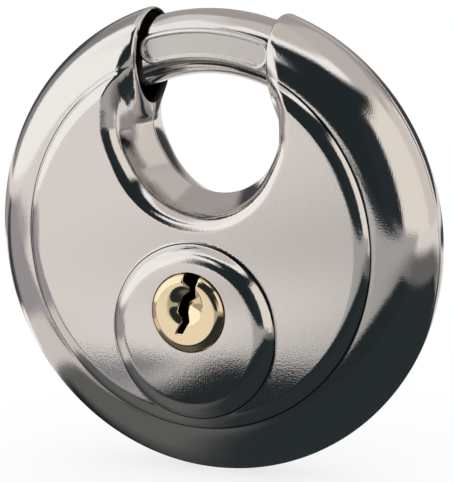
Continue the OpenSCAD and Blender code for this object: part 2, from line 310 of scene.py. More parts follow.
def back_field(x, up, front):
    """The body with the same face on both sides."""
    throat = throat_field(x, up, front)
    sides = smooth_min(throat, horn_field(x, up, front), HORN_BLEND)
    rim = smooth_max(rim_field(x, up, front), sides, CREASE_BLEND)
    at_horn = np.clip((throat - sides) / CORNER_REACH, 0, 1)
    face = smooth_max(plate_field(x, up, front), sides, FACE_BLEND + CORNER_BLEND * at_horn)
    gap = smooth_max(np.abs(x) - MOUTH_X, LIP_UP - up, LIP_BLEND)
    return smooth_max(smooth_min(rim, face, GROOVE_BLEND), -gap, MOUTH_EDGE)


def boss_field(x, up, front):
    """The raised round boss, with leaning sides and a slightly domed top."""
    across = np.hypot(x, up + BOSS_DROP)
    side = (across - BOSS_R + (front - FACE_H) * math.tan(BOSS_DRAFT)) * math.cos(BOSS_DRAFT)
    side = np.maximum(side, FACE_H - BOSS_ROOT - front)
    crown = np.hypot(across, front - (BOSS_TOP - CROWN_R)) - CROWN_R
    return smooth_max(side, crown, SHOULDER_BLEND)


def front_field(x, up, front):
    return smooth_min(back_field(x, up, front), boss_field(x, up, front), FOOT_BLEND)


def half_field(field, sign):
    """One half of a field, with a rounded edge at the seam."""
    def half(x, up, front):
        return smooth_max(field(x, up, front), -sign * front, SEAM_ROUND)

    return half


def recess_outline(along, out):
    """Distance to the outline of the shackle's recess, negative inside."""
    end = np.maximum(np.abs(along) - RECESS_HALF, 0)
    return np.hypot(end, out - RECESS_V) - RECESS_W / 2


def shackle_field(along, out, front):
    """The shackle as a straight bar: along its middle line, out from the disc's centre, and front."""
    bar = np.hypot(out, front) - BAR_R
    recess = recess_outline(along, out)
    bead = np.hypot(recess - BEAD_R / 2, bar) - BEAD_R + np.maximum(0, -front)
    bar = smooth_min(bar, bead, BEAD_BLEND)
    bar = smooth_max(bar, -np.maximum(recess + BEAD_R / 2, RECESS_FLOOR - front), RECESS_BLEND)
    bar = smooth_max(bar, TIP_ALONG - along, TIP_ROUND)
    bar = np.maximum(bar, along - TAIL_ALONG)
    return np.maximum(bar, np.where(along > FLAT_ALONG, FLAT_FRONT - front, -BAR_R))


def keyway_corners():
    """Outline of the keyway about the plug's axis."""
    left = [(x - share * KEYWAY_W / 2, up) for x, up, share in KEYWAY_LINE]
    right = [(x + share * KEYWAY_W / 2, up) for x, up, share in KEYWAY_LINE]
    return left + right[::-1]


def polygon_field(x, up, corners):
    """Signed distance to a closed outline, negative inside."""
    nearest = np.full(np.broadcast(x, up).shape, np.inf)
    inside = np.zeros(nearest.shape, bool)
    for (ax, ay), (bx, by) in zip(corners, corners[1:] + corners[:1]):
        ex, ey = bx - ax, by - ay
        px, py = x - ax, up - ay
        t = np.clip((px * ex + py * ey) / (ex * ex + ey * ey), 0, 1)
        nearest = np.minimum(nearest, np.hypot(px - t * ex, py - t * ey))
        if ey != 0:
            inside ^= ((ay > up) != (by > up)) & (px < ex * py / ey)
    return np.where(inside, -nearest, nearest)


def pin_holes(x, up, front):
    """The chambers of the key pins, below the plug's axis."""
    across = np.min([np.hypot(x, front - place) for place in PIN_FRONTS], axis=0)
    return np.maximum(across - PIN_R - PIN_PLAY, up - PIN_HOLE_TOP)


def plug_head(r, front):
    """The wide front end of the plug, with a chamfer round its face."""
    lean = PLUG_CHAMFER_DEPTH / PLUG_CHAMFER
    edge = PLUG_FRONT - PLUG_CHAMFER_DEPTH
    chamfer = ((r - PLUG_HEAD_R) * lean + front - edge) / math.hypot(lean, 1)
    head = np.maximum(r - PLUG_HEAD_R, PLUG_HEAD_BACK - front)
    return smooth_max(np.maximum(head, front - PLUG_FRONT), chamfer, EDGE_BREAK)


def plug_spigot(x, r, front):
    """The thin end with two flats that carries the crank."""
    sides = np.maximum(r - SPIGOT_R, np.abs(x) - SPIGOT_FLAT)
    return np.maximum(np.maximum(sides, -PLUG_BACK - front), front)


def key_entry(x, up, front):
    """The cone that leads the key into the keyway."""
    slope = ENTRY_R / ENTRY_DEPTH
    reach = np.hypot(x, up - ENTRY_UP) - ENTRY_R + (PLUG_FRONT - front) * slope
    return reach / math.hypot(1, slope)


def plug_field(x, up, front):
    """The plug about its own axis."""
    r = np.hypot(x, up)
    ends = np.maximum(PLUG_BODY_BACK - front, front - PLUG_HEAD_BACK - PLUG_OVERLAP)
    body = np.maximum(r - PLUG_R, ends)
    metal = np.minimum(np.minimum(body, plug_head(r, front)), plug_spigot(x, r, front))
    metal = np.maximum(metal, -pin_holes(x, up, front))
    metal = smooth_max(metal, -key_entry(x, up, front), EDGE_BREAK)
    keyway = np.maximum(polygon_field(x, up, keyway_corners()), KEYWAY_BACK - front)
    return smooth_max(metal, -keyway, EDGE_BREAK)


# Meshing

def unit(vectors):
    return vectors / np.maximum(np.linalg.norm(vectors, axis=-1, keepdims=True), TINY)


def gradient(field, points):
    """Unit normals of a field at points."""
    parts = []
    for axis in range(3):
        step = np.zeros(3)
        step[axis] = PROBE
        parts.append(field(*(points + step).T) - field(*(points - step).T))
    return unit(np.stack(parts, 1))


def settle(field, points, rounds=4):
    """Moves points onto the field's surface."""
    for _ in range(rounds):
        points = points - gradient(field, points) * field(*points.T)[:, None]
    return points


def stepped_axis(*stretches):
    """Grid positions over stretches (start, end, step) that follow each other."""
    parts = [np.linspace(a, b, math.ceil((b - a) / step), endpoint=False) for a, b, step in stretches]
    return np.concatenate(parts + [[stretches[-1][1]]])


def straight(u, v):
    return u, v


def round_warp(u, v):
    """Bends a square grid so that its outer lines run round the disc."""
    reach = np.maximum(np.abs(u), np.abs(v))
    on_side = np.abs(u) >= np.abs(v)
    turn = math.pi / 4 * np.where(on_side, v, u) / np.maximum(reach, TINY)
    along = reach * np.cos(turn)
    across = reach * np.sin(turn)
    share = smooth_step(WARP_FROM, WARP_TO, reach)
    x = u + (np.where(on_side, np.sign(u) * along, across) - u) * share
    up = v + (np.where(on_side, across, np.sign(v) * along) - v) * share
    return x, up


def cell_corner(value, offset):
    """The grid's values at one corner of every cell."""
    return value[tuple(slice(k, n - 1 + k) for k, n in zip(offset, value.shape))]


def edge_crossings(value):
    """For every cell, the sum and the number of the points where the surface crosses its edges."""
    cells = tuple(n - 1 for n in value.shape)
    total = np.zeros(cells + (3,), np.float32)
    count = np.zeros(cells, np.int8)
    for axis, i, j in itertools.product(range(3), (0, 1), (0, 1)):
        start = [i, j]
        start.insert(axis, 0)
        end = [i, j]
        end.insert(axis, 1)
        a = cell_corner(value, start)
        b = cell_corner(value, end)
        crossed = (a < 0) != (b < 0)
        t = np.where(crossed, a / np.where(crossed, a - b, 1), 0)
        count += crossed
        for k in range(3):
            total[..., k] += np.where(crossed, t if k == axis else start[k], 0)
    return total, count


def net_quads(value, index):
    """A quad round each grid line that crosses the surface, facing out of the metal."""
    quads = []
    for axis in range(3):
        u = (axis + 1) % 3
        v = (axis + 2) % 3
        here = [slice(1, n - 1) for n in value.shape]
        here[axis] = slice(0, value.shape[axis] - 1)
        ahead = list(here)
        ahead[axis] = slice(1, value.shape[axis])
        a = value[tuple(here)] < 0
        b = value[tuple(ahead)] < 0
        for leaving in (True, False):
            at = np.argwhere((a & ~b) if leaving else (~a & b))
            at[:, u] += 1
            at[:, v] += 1
            ring = []
            for du, dv in ((-1, -1), (0, -1), (0, 0), (-1, 0)):
                cell = at.copy()
                cell[:, u] += du
                cell[:, v] += dv
                ring.append(index[tuple(cell.T)])
            quads.append(np.stack(ring if leaving else ring[::-1], 1))
    return np.concatenate(quads)


def surface_net(field, axes, place=straight):
    """Quads over the surface of a field, with one corner in each cell that the surface crosses.
    place bends the grid's first two axes."""
    value = field(*place(axes[0][:, None, None], axes[1][None, :, None]), axes[2][None, None, :])
    total, count = edge_crossings(value)
    used = count > 0
    index = np.full(count.shape, -1)
    index[used] = np.arange(used.sum())
    at = np.argwhere(used) + total[used] / count[used][:, None]
    u, v, w = (np.interp(at[:, k], np.arange(len(axes[k])), axes[k]) for k in range(3))
    points = np.stack([*place(u, v), w], 1)
    return settle(field, points), net_quads(value, index)


def trim(field, points, quads, keep, pull):
    """Cuts a mesh where keep(points) falls below 0; pull(points) puts points on the cut."""
    kept = quads[(keep(points)[quads] > 0).any(1)]
    edge = np.unique(kept)
    edge = edge[keep(points[edge]) < 0]
    moved = points[edge]
    for _ in range(CUT_ROUNDS):
        moved = pull(settle(field, pull(moved), 1))
    points = points.copy()
    points[edge] = moved
    names = np.unique(kept)
    renumber = np.zeros(len(points), int)
    renumber[names] = np.arange(len(names))
    return points[names], renumber[kept]


def open_edges(quads):
    """Directed edges that only one quad has."""
    edges = np.concatenate([quads[:, [k, (k + 1) % 4]] for k in range(4)])
    size = quads.max() + 1
    key = np.minimum(edges[:, 0], edges[:, 1]) * size + np.maximum(edges[:, 0], edges[:, 1])
    _, first, times = np.unique(key, return_index=True, return_counts=True)
    return edges[first[times == 1]]


def turn_to_row(vectors):
    """Turns vectors from the shapes' axes to those of the row frame."""
    return np.stack([vectors[:, 0], -vectors[:, 2], vectors[:, 1]], 1)


def to_row(points):
    """Millimetres about the disc's centre to metres of the row frame."""
    return np.stack([points[:, 0], -points[:, 2], points[:, 1] + DISC_Z], 1) * MM


def add_mesh(name, points, faces, corner_normals, slots, materials):
    """A mesh in the row frame with its own shading normals, one for each corner of each face."""
    mesh = bpy.data.meshes.new(name)
    mesh.from_pydata(to_row(points).tolist(), [], faces.tolist())
    mesh.polygons.foreach_set("use_smooth", np.ones(len(faces), bool))
    mesh.polygons.foreach_set("material_index", slots.astype(np.int32))
    for material in materials:
        mesh.materials.append(material)
    mesh.normals_split_custom_set(turn_to_row(corner_normals).tolist())
    mesh.update()
    piece = bpy.data.objects.new(name, mesh)
    bpy.context.collection.objects.link(piece)
    return piece


# Shells

def at_mouth(points):
    """True on the flat ends of the horns and just inside them."""
    return (np.abs(points[:, 0]) < MOUTH_X + MOUTH_DEEP) & (points[:, 1] > LIP_UP)


def cut_mouths(field, points, quads):
    """Opens the flat ends of the horns for the bar, longer towards the disc's centre."""
    def reach(p):
        out = np.hypot(p[:, 0], p[:, 1]) - ARC_R
        out = np.where(out < 0, out * MOUTH_R / (MOUTH_R + MOUTH_DROP), out)
        return np.hypot(out, p[:, 2])

    def keep(p):
        return np.where(at_mouth(p), reach(p) - MOUTH_R, 1.0)

    def pull(p):
        grow = MOUTH_R / np.maximum(reach(p), TINY)
        r = ARC_R + (np.hypot(p[:, 0], p[:, 1]) - ARC_R) * grow
        x = np.sign(p[:, 0]) * MOUTH_X
        return np.stack([x, np.sqrt(r**2 - x**2), p[:, 2] * grow], 1)

    return trim(field, points, quads, keep, pull)


def cut_seam(field, points, quads):
    """Opens the flat side of a half, a little in from its rounded edge."""
    def inner(x, up, front):
        return back_field(x, up, front) + SEAM_DEPTH

    def keep(p):
        return inner(*p.T)

    def pull(p):
        p = settle(inner, p, 1)
        p[:, 2] = 0
        return p

    return trim(field, points, quads, keep, pull)


def cut_plug_hole(field, points, quads):
    """Opens the boss for the plug."""
    def radius(p):
        return np.hypot(p[:, 0], p[:, 1] + PLUG_DROP)

    def keep(p):
        return np.where(p[:, 2] > FACE_H, radius(p) - PLUG_HOLE_R, 1.0)

    def pull(p):
        p = p.copy()
        grow = PLUG_HOLE_R / np.maximum(radius(p), TINY)
        p[:, 0] *= grow
        p[:, 1] = (p[:, 1] + PLUG_DROP) * grow - PLUG_DROP
        return p

    return trim(field, points, quads, keep, pull)


def shell_axes(top):
    """Grid of a half: fine at the groove, the throat, the faces and the seam."""
    wide = DISC_R + GRID_MARGIN
    near = CREASE_R - GROOVE_BAND
    far = CREASE_R + GROOVE_BAND
    lower_rim = (-wide, -far, COARSE)
    lower_groove = (-far, -near, FINEST)
    groove = (near, far, FINEST)
    u = stepped_axis(
        lower_rim,
        lower_groove,
        (-near, -THROAT_WIDE, COARSE),
        (-THROAT_WIDE, THROAT_WIDE, FINE),
        (THROAT_WIDE, near, COARSE),
        groove,
        (far, wide, COARSE),
    )
    v = stepped_axis(
        lower_rim,
        lower_groove,
        (-near, THROAT_LOW, COARSE),
        (THROAT_LOW, near, FINE),
        groove,
        (far, wide, FINE),
    )
    w = stepped_axis(
        (-GRID_MARGIN, -SEAM_BAND, COARSE),
        (-SEAM_BAND, SEAM_BAND, SEAM_STEP),
        (SEAM_BAND, FACE_BAND, COARSE),
        (FACE_BAND, top + GRID_MARGIN, FINE),
    )
    return u, v, w


def shell_piece(name, field, body, points, quads, materials):
    """A pressed shell: the outer surface, the same moved in by the sheet, and the cut edges between.
    The sheet is measured from the whole body, so that it stays even up to the seam."""
    normals = gradient(field, points)
    inward = gradient(body, points)
    count = len(points)
    rims = open_edges(quads)
    bands = np.stack([rims[:, 1], rims[:, 0], rims[:, 0] + count, rims[:, 1] + count], 1)
    both = np.concatenate([points, points - SHEET * inward])
    faces = np.concatenate([quads, quads[:, ::-1] + count, bands])
    first_band = 2 * len(quads)

    a, b, c = (both[bands[:, k]] for k in range(3))
    flat = unit(np.cross(b - a, c - b))
    outward = normals[rims[:, 0]]
    corners = np.concatenate([normals, -inward])[faces]
    corners[first_band:, :2] = (flat + EDGE_ROUND * outward)[:, None, :]
    corners[first_band:, 2:] = (flat - EDGE_ROUND * outward)[:, None, :]

    # The inner sheet and the cut edges at the horns' mouths take the dark inside material: painted shade.
    slots = np.repeat([0, 1, 2], [len(quads), len(quads), len(bands)])
    slots[first_band:] -= at_mouth(points[rims[:, 0]])
    return add_mesh(name, both, faces, unit(corners).reshape(-1, 3), slots, materials)


def build_shells():
    pieces = []
    for name, body, top, sign, steel in (
        ("front_cover", front_field, BOSS_TOP, 1, front_steel),
        ("rear_cover", back_field, FACE_H, -1, rear_steel),
    ):
        field = half_field(body, sign)
        u, v, w = shell_axes(top)
        points, quads = surface_net(field, (u, v, w if sign > 0 else -w[::-1]), round_warp)
        points, quads = cut_seam(field, points, quads)
        points, quads = cut_mouths(field, points, quads)
        if sign > 0:
            points, quads = cut_plug_hole(field, points, quads)
        pieces.append(shell_piece(name, field, body, points, quads, [steel, inside_painted_shade, steel_edge]))
    return pieces


# Shackle and plug, and how near a face lies to the places with a material of their own

RECESS_FLOOR_REACH = 0.06
BEAD_SHARE = 0.9
KEYWAY_REACH = 0.05
KEYWAY_SET = 0.3
KEYWAY_END = 0.2


def recess_slot(centers):
    """1 on the floor of the shackle's recess, 2 on the bead round it, which carries a painted highlight, else 0.
    """
    recess = recess_outline(centers[:, 0], centers[:, 1])
    on_floor = (np.abs(centers[:, 2] - RECESS_FLOOR) < RECESS_FLOOR_REACH) & (recess < -BEAD_R)
    on_bead = (np.abs(recess - BEAD_R / 2) < BEAD_SHARE * BEAD_R) & (centers[:, 2] > 0)
    return np.where(on_floor, 1, np.where(on_bead, 2, 0))


def build_shackle(materials):
    """Meshes the straight bar and bends it round the disc."""
    seen = RECESS_HALF + RECESS_W
    along = stepped_axis(
        (TIP_ALONG - GRID_MARGIN, -seen, HIDDEN_BAR_STEP),
        (-seen, seen, SHACKLE_STEP),
        (seen, TAIL_ALONG + GRID_MARGIN, HIDDEN_BAR_STEP),
    )
    across = stepped_axis((-BAR_R - SHACKLE_MARGIN, BAR_R + SHACKLE_MARGIN, SHACKLE_STEP))
    flat, quads = surface_net(shackle_field, (along, across, across))
    normals = gradient(shackle_field, flat)
    turn = flat[:, 0] / ARC_R
    sine = np.sin(turn)
    cosine = np.cos(turn)
    reach = ARC_R + flat[:, 1]
    points = np.stack([reach * sine, reach * cosine, flat[:, 2]], 1)
    bent = np.stack([
        normals[:, 0] * cosine + normals[:, 1] * sine,
        normals[:, 1] * cosine - normals[:, 0] * sine,
        normals[:, 2],
    ], 1)
    slots = recess_slot(flat[quads].mean(1))
    return add_mesh("shackle_bar", points, quads, bent[quads].reshape(-1, 3), slots, materials)


def keyway_slot(centers):
    """1 in the keyway behind the plug's face, where shade is painted, else 0."""
    inside = polygon_field(centers[:, 0], centers[:, 1], keyway_corners()) < KEYWAY_REACH
    entry = np.hypot(centers[:, 0], centers[:, 1] - ENTRY_UP)
    mouth = PLUG_FRONT - ENTRY_DEPTH * np.clip(1 - entry / ENTRY_R, 0, 1) - KEYWAY_SET
    depth = centers[:, 2]
    return (inside & (depth < mouth) & (depth > KEYWAY_BACK - KEYWAY_END)).astype(int)


def build_plug(materials):
    wide = np.arange(-PLUG_HEAD_R - PLUG_MARGIN, PLUG_HEAD_R + PLUG_MARGIN, PLUG_STEP)
    head_from = PLUG_HEAD_BACK - PLUG_HEAD_BAND
    behind = np.arange(-PLUG_BACK - PLUG_END_MARGIN, head_from, HIDDEN_PLUG_STEP)
    ahead = np.arange(head_from, PLUG_FRONT + PLUG_END_MARGIN, PLUG_STEP)
    points, quads = surface_net(plug_field, [wide, wide, np.concatenate([behind, ahead])])
    normals = gradient(plug_field, points)
    slots = keyway_slot(points[quads].mean(1))
    points[:, 1] -= PLUG_DROP
    return add_mesh("plug_face", points, quads, normals[quads].reshape(-1, 3), slots, materials)


# Materials

STEEL_COLOR = (0.82, 0.8, 0.78)
STEEL_ROUGH = 0.055
EVEN = (1.0, 1.0, 1.0)
LEAST_ROUGH = 0.6
GRAIN_DEPTH = 0.00002
HAIRLINE_STRETCH = (1.0, 1.0, 0.06)
HAIRLINE_SCALE = 6500.0
HAIRLINE_STRENGTH = 0.34
SPECKLE_SCALE = 4400.0
SPECKLE_STRENGTH = 0.34

# Painted shade in the creases: its colour, its reach in millimetres, and the height at which it fades at the horns
CREASE_SHADE_COLOR = (0.03, 0.03, 0.03)
CREASE_DARK = 0.05
CREASE_EDGE = 0.14
GROOVE_FADE = 19.0
GROOVE_FADE_LENGTH = 2.5


def shader_of(material):
    return material.node_tree.nodes["Principled BSDF"]


def new_material(name, color, metallic, roughness):
    material = bpy.data.materials.new(name)
    material.use_nodes = True
    shader = shader_of(material)
    shader.inputs["Base Color"].default_value = (*color, 1)
    shader.inputs["Metallic"].default_value = metallic
    shader.inputs["Roughness"].default_value = roughness
    return material


def add_node(material, kind, **values):
    """A node with its sockets and settings set by name."""
    node = material.node_tree.nodes.new(kind)
    for key, value in values.items():
        if key in node.inputs:
            node.inputs[key].default_value = value
        else:
            setattr(node, key, value)
    return node


def link(material, source, target):
    material.node_tree.links.new(source, target)


def grain(material, stretch, scale, detail=3.0):
    """Noise in object space, stretched along the grain."""
    place = add_node(material, "ShaderNodeTexCoord")
    scaling = add_node(material, "ShaderNodeMapping", Scale=stretch)
    noise = add_node(material, "ShaderNodeTexNoise", Scale=scale, Detail=detail)
    link(material, place.outputs["Object"], scaling.inputs["Vector"])
    link(material, scaling.outputs["Vector"], noise.inputs["Vector"])
    return noise.outputs["Fac"]


def vary_roughness(material, source, roughness, most):
    """Gloss that follows the grain, up to a share of the plain roughness."""
    spread = add_node(material, "ShaderNodeMapRange")
    spread.inputs["To Min"].default_value = roughness * LEAST_ROUGH
    spread.inputs["To Max"].default_value = roughness * most
    link(material, source, spread.inputs["Value"])
    link(material, spread.outputs["Result"], shader_of(material).inputs["Roughness"])


def add_bump(material, source, strength):
    """Fine relief over any relief that is already there."""
    bump = add_node(material, "ShaderNodeBump", Strength=strength, Distance=GRAIN_DEPTH)
    link(material, source, bump.inputs["Height"])
    normal = shader_of(material).inputs["Normal"]
    if normal.is_linked:
        link(material, normal.links[0].from_socket, bump.inputs["Normal"])
    link(material, bump.outputs["Normal"], normal)


def node_math(material, operation, first, second):
    """The result of a sum on sockets or numbers."""
    node = add_node(material, "ShaderNodeMath", operation=operation)
    for slot, value in enumerate((first, second)):
        if isinstance(value, (int, float)):
            node.inputs[slot].default_value = value
        else:
            link(material, value, node.inputs[slot])
    return node.outputs[0]


def ramp(material, source, start, end):
    """Falls smoothly from 1 at start to 0 at end."""
    node = add_node(material, "ShaderNodeMapRange", interpolation_type="SMOOTHSTEP")
    node.inputs["From Min"].default_value = start
    node.inputs["From Max"].default_value = end
    node.inputs["To Min"].default_value = 1.0
    node.inputs["To Max"].default_value = 0.0
    link(material, source, node.inputs["Value"])
    return node.outputs["Result"]


def ring_mask(material, radius, drop):
    """1 in a crease that runs round an axis of the disc's face, given in millimetres, below the horns."""
    place = add_node(material, "ShaderNodeTexCoord").outputs["Object"]
    moved = add_node(material, "ShaderNodeMapping", Location=(0, 0, (drop - DISC_Z) * MM), Scale=(1, 0, 1))
    reach = add_node(material, "ShaderNodeVectorMath", operation="LENGTH")
    link(material, place, moved.inputs["Vector"])
    link(material, moved.outputs["Vector"], reach.inputs[0])
    past = node_math(material, "SUBTRACT", reach.outputs["Value"], radius * MM)
    crease = ramp(material, node_math(material, "ABSOLUTE", past, 0.0), CREASE_DARK * MM, CREASE_EDGE * MM)
    height = add_node(material, "ShaderNodeSeparateXYZ")
    link(material, place, height.inputs["Vector"])
    fade = DISC_Z + GROOVE_FADE
    below_horns = ramp(material, height.outputs["Z"], fade * MM, (fade + GROOVE_FADE_LENGTH) * MM)
    return node_math(material, "MULTIPLY", crease, below_horns)


def paint_crease_shade(material, mask, color):
    """Painted shade in the creases, over the shader's own colour."""
    base = shader_of(material).inputs["Base Color"]
    mix = add_node(material, "ShaderNodeMix", data_type="RGBA")
    clean, painted_shade = (socket for socket in mix.inputs if socket.type == "RGBA")
    clean.default_value = base.default_value
    painted_shade.default_value = (*color, 1)
    result = next(socket for socket in mix.outputs if socket.type == "RGBA")
    link(material, mask, mix.inputs[0])
    link(material, result, base)


def pressed_steel(name, creases):
    """Polished sheet with fine upright hairlines, a faint speckle, and painted shade in its creases."""
    material = new_material(name, STEEL_COLOR, 1.0, STEEL_ROUGH)
    lines = grain(material, HAIRLINE_STRETCH, HAIRLINE_SCALE)
    speckle = grain(material, EVEN, SPECKLE_SCALE, detail=2.0)
    vary_roughness(material, lines, STEEL_ROUGH, most=1.6)
    add_bump(material, lines, HAIRLINE_STRENGTH)
    add_bump(material, speckle, SPECKLE_STRENGTH)
    mask = ring_mask(material, *creases[0])
    for crease in creases[1:]:
        mask = node_math(material, "MAXIMUM", mask, ring_mask(material, *crease))
    # Painted shade: the creases are darkened to near black.
    paint_crease_shade(material, mask, CREASE_SHADE_COLOR)
    return material


def brushed_metal(name, color, roughness, stretch, grain_scale, strength):
    """Metal with grain lines that vary its gloss and stand out a little."""
    material = new_material(name, color, 1.0, roughness)
    lines = grain(material, stretch, grain_scale)
    vary_roughness(material, lines, roughness, most=1.5)
    add_bump(material, lines, strength)
    return material


# The pressed sheets with their creases, where shade is painted, each a radius and a drop from the disc's centre
front_steel = pressed_steel("front_steel", [(CREASE_R, 0.0), (BOSS_FOOT_R, BOSS_DROP)])
rear_steel = pressed_steel("rear_steel", [(CREASE_R, 0.0)])

# The other metals: colour, roughness, and the stretch, fineness and strength of the grain
# Dark inside of the shells and their cut edges at the mouths: painted shade.
inside_painted_shade = brushed_metal("inside_painted_shade", (0.1, 0.1, 0.1), 0.6, EVEN, 900.0, 0.2)
steel_edge = brushed_metal("cut_edge", (0.85, 0.83, 0.81), 0.25, EVEN, 1500.0, 0.1)
bar_steel = brushed_metal("bar_steel", STEEL_COLOR, 0.06, (0.2, 1.0, 1.0), 4000.0, 0.2)
recess_steel = brushed_metal("recess_steel", (0.88, 0.86, 0.84), 0.34, (0.3, 1.0, 1.0), 14000.0, 0.1)
# Bright bead round the recess: a painted highlight.
bead_painted_highlight = brushed_metal("bead_painted_highlight", (0.97, 0.96, 0.95), 0.36, EVEN, 3000.0, 0.1)
brass_face = brushed_metal("brass_face", (1.0, 0.85, 0.58), 0.07, EVEN, 3000.0, 0.1)
# Dark walls of the keyway: painted shade.
keyway_painted_shade = brushed_metal("keyway_painted_shade", (0.06, 0.045, 0.03), 0.5, EVEN, 1500.0, 0.2)
plain_steel = brushed_metal("plain_steel", (0.52, 0.53, 0.54), 0.32, EVEN, 900.0, 0.2)
spring_steel = brushed_metal("spring_steel", (0.58, 0.58, 0.58), 0.25, EVEN, 900.0, 0.1)
cast_zinc = brushed_metal("cast_zinc", (0.5, 0.51, 0.52), 0.5, EVEN, 1200.0, 0.4)
turned_brass = brushed_metal("turned_brass", (0.8, 0.64, 0.34), 0.25, EVEN, 900.0, 0.2)

SLOT_MATERIALS = {
    "plain_steel": plain_steel,
    "spring_steel": spring_steel,
    "cast_zinc": cast_zinc,
    "brass": turned_brass,
}


# The lock

def dress_frame():
    """Better metals on the CAD pieces that stay as they are."""
    for part in frame["record"]["subparts"]:
        material = SLOT_MATERIALS.get(part["material_slot"])
        if material:
            slots = frame["nodes"][part["node"]].data.materials
            slots.clear()
            slots.append(material)


def add_springs():
    """Copies of the springs' wire in place of the CAD springs, each with a mesh of its own."""
    for number in range(1, PIN_COUNT + 1):
        node = f"pin_spring_{number}"
        wire = frame["nodes"][node]
        coil = bpy.data.objects.new(f"coil_{number}", wire.data.copy())
        coil.matrix_world = wire.matrix_world
        bpy.context.scene.collection.objects.link(coil)
        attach(coil, "root")
        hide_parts(node)
        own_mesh(coil)


def build_lock():
    dress_frame()
    add_springs()
    front_cover, rear_cover = build_shells()
    bar = build_shackle([bar_steel, recess_steel, bead_painted_highlight])
    plug = build_plug([brass_face, keyway_painted_shade])
    for piece, node, body, slot in (
        (front_cover, "front_shell", "root", "polished_steel"),
        (rear_cover, "rear_shell", "root", "polished_steel"),
        (bar, "shackle", "shackle_body", "shackle_steel"),
        (plug, "plug", "plug_body", "plug_brass"),
    ):
        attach(piece, body)
        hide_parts(node)


# Studio

# Cards of the light tent as the lock sees them: azimuth and elevation limits in degrees, the rise of
# the card for each degree of azimuth, the softness of its edges, and its colour. Azimuth 0 is
# straight in front of the keyhole, positive towards x.
TENT_RADIUS = 0.9
TENT_STEP = 1.5
TENT_LOW = -12
TENT_BASE = (0.4, 0.37, 0.36)
TENT_CARDS = (
    ("left ceiling", (-125, -38), (46, 95), 0, 8, (0.7, 0.69, 0.69)),
    ("zenith", (-190, 190), (70, 95), 0, 8, (0.62, 0.57, 0.54)),
    ("front ceiling", (-40, 95), (57, 71), 0, 5, (1.0, 0.98, 0.96)),
    ("right ceiling", (88, 190), (40, 75), 0, 8, (0.56, 0.52, 0.49)),
    ("left fade", (-132, -98), (-15, 38), 0, 14, (0.27, 0.26, 0.27)),
    ("left shade", (-150, -120), (-15, 10), 0.4, 8, (0.06, 0.06, 0.065)),
    ("key", (-101, -27), (-15, 47), 0, 5, (1.02, 1.0, 0.97)),
    ("key wing", (-82, -7), (28, 62), 0, 6, (0.96, 0.94, 0.93)),
    ("far right wall", (116, 148), (-15, 38), 0, 6, (0.7, 0.65, 0.6)),
    ("right wall", (55, 118), (-15, 46), 0, 6, (0.86, 0.8, 0.73)),
    ("front wall", (-18, 54), (-15, 27), 0.15, 6, (0.022, 0.029, 0.033)),
    ("back strip", (147, 152), (-15, 28), 0, 3, (0.95, 0.93, 0.9)),
    ("back shade", (153, 195), (-15, 19), 0, 6, (0.05, 0.052, 0.054)),
    ("back shade left", (-195, -166), (-15, 12), 0, 8, (0.05, 0.052, 0.054)),
)

# The dark flag that curves over the tent from the front to the right, and its tail to the left:
# azimuth, elevation and half width along each
FLAG_LINE = (
    (-1, -20, 18),
    (-2, 6, 22),
    (10, 24, 16),
    (16, 42, 20),
    (34, 47, 16),
    (54, 49, 10),
    (74, 49.5, 6),
    (96, 50, 1),
)
FLAG_TAIL = (
    (8, 51, 9),
    (-14, 52, 7),
    (-34, 50, 2),
)
FLAG_SOFT = 5
FLAG_COLOR = (0.018, 0.024, 0.027)

# Cards that lie on the table round the lock and show only in reflections: limits across and in depth
# in millimetres, softness, and colour
TABLE_HALF = 0.96
TABLE_LIFT = 0.0002
TABLE_NEAR = 0.2
TABLE_NEAR_STEP = 0.004
TABLE_FAR_STEP = 0.015
TABLE_BASE = (0.8, 0.755, 0.72)
TABLE_CARDS = (
    ("front shade", (-85, 90), (-330, -150), 70, (0.56, 0.53, 0.51)),
    ("front right", (-25, 800), (-960, -60), 40, (0.41, 0.4, 0.39)),
    ("left front", (-400, -140), (-172, -40), 16, (0.43, 0.405, 0.42)),
    ("left", (-400, -74), (-99, 260), 14, (0.35, 0.325, 0.34)),
    ("left dark", (-400, -82), (12, 64), 24, (0.05, 0.052, 0.055)),
    ("right", (60, 240), (-95, 150), 120, (0.14, 0.14, 0.14)),
    ("near left", (-70, 5), (-58, 60), 12, (0.36, 0.335, 0.36)),
    ("streak", (-72, -34), (-77, -58), 9, (0.2, 0.205, 0.22)),
    ("left stripe", (-75, -46), (-56, 25), 6, (0.68, 0.64, 0.6)),
    ("contact shade", (-45, 10), (-38, 40), 6, (0.12, 0.122, 0.118)),
    ("contact line", (-40, 12), (-4, 40), 6, (0.02, 0.021, 0.021)),
    ("near right", (-28, 112), (-83, -32), 5, (0.02, 0.026, 0.029)),
    ("contact right", (-2, 112), (-40, 75), 14, (0.024, 0.031, 0.034)),
    ("back", (-60, 120), (190, 300), 30, (0.06, 0.062, 0.063)),
    ("left glint", (-165, -100), (72, 135), 16, (1.0, 0.98, 0.96)),
    ("near glint", (-84, -58), (14, 44), 8, (1.0, 0.98, 0.95)),
    ("front edge", (-125, 420), (-960, -335), 30, (0.03, 0.036, 0.04)),
)

# Floor and world
FLOOR_HALF = 30.0
FLOOR_COLOR = (0.22, 0.22, 0.22)
FLOOR_ROUGH = 0.9
FLOOR_GLOW = (0.78, 0.78, 0.78, 1)
WORLD_COLOR = (1, 1, 1, 1)
WORLD_STRENGTH = 1.05


def card_material(name):
    """Gives off the light that the mesh keeps at its vertices."""
    material = bpy.data.materials.new(name)
    material.use_nodes = True
    material.node_tree.nodes.clear()
    output = add_node(material, "ShaderNodeOutputMaterial")
    glow = add_node(material, "ShaderNodeEmission")
    color = add_node(material, "ShaderNodeAttribute", attribute_name="light")
    link(material, color.outputs["Color"], glow.inputs["Color"])
    link(material, glow.outputs["Emission"], output.inputs["Surface"])
    return material


